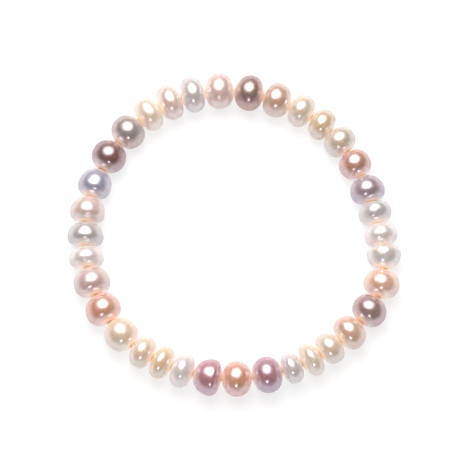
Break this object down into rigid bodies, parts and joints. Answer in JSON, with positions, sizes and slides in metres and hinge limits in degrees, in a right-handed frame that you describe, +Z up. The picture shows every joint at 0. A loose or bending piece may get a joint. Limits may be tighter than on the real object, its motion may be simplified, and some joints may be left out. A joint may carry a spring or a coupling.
{
  "type": "pearl bracelet",
  "caption": "Stretch bracelet of button pearls threaded side by side on one closed elastic cord, lying flat as a soft circle.",
  "frame": {"origin": "under the middle of the loop, on the surface that the bracelet lies on", "axes": "+Z up, square to the surface it lies on; +X and +Y lie in the plane of the loop, +Y away from the viewer"},
  "size_m": [0.0696, 0.0704, 0.0076],
  "materials": {
    "white_pearl": "polished nacre, white with a faint pink overtone, bright pearly lustre",
    "cream_pearl": "polished nacre, warm cream, bright pearly lustre",
    "blush_pearl": "polished nacre, pale pink, bright pearly lustre",
    "peach_pearl": "polished nacre, peach and rose, near-metallic lustre",
    "mauve_pearl": "polished nacre, mauve pink, near-metallic lustre",
    "silver_pearl": "polished nacre, silver grey with a pink rim, near-metallic lustre",
    "bronze_pearl": "polished nacre, brownish bronze, near-metallic lustre",
    "elastic": "smooth, milky, slightly see-through elastic"
  },
  "bodies": {
    "root": {"pearl_01": "blush_pearl", "pearl_02": "bronze_pearl", "pearl_03": "peach_pearl", "pearl_04": "cream_pearl", "pearl_05": "cream_pearl", "pearl_06": "cream_pearl", "pearl_07": "peach_pearl", "pearl_08": "mauve_pearl", "pearl_09": "white_pearl", "pearl_10": "white_pearl", "pearl_11": "white_pearl", "pearl_12": "peach_pearl", "pearl_13": "mauve_pearl", "pearl_14": "peach_pearl", "pearl_15": "cream_pearl", "pearl_16": "white_pearl", "pearl_17": "white_pearl", "pearl_18": "mauve_pearl", "pearl_19": "peach_pearl", "pearl_20": "mauve_pearl", "pearl_21": "white_pearl", "pearl_22": "cream_pearl", "pearl_23": "cream_pearl", "pearl_24": "cream_pearl", "pearl_25": "peach_pearl", "pearl_26": "blush_pearl", "pearl_27": "white_pearl", "pearl_28": "white_pearl", "pearl_29": "blush_pearl", "pearl_30": "silver_pearl", "pearl_31": "bronze_pearl", "pearl_32": "silver_pearl", "pearl_33": "cream_pearl", "pearl_34": "blush_pearl", "pearl_35": "white_pearl", "elastic_cord": "elastic"}
  },
  "joints": []
}
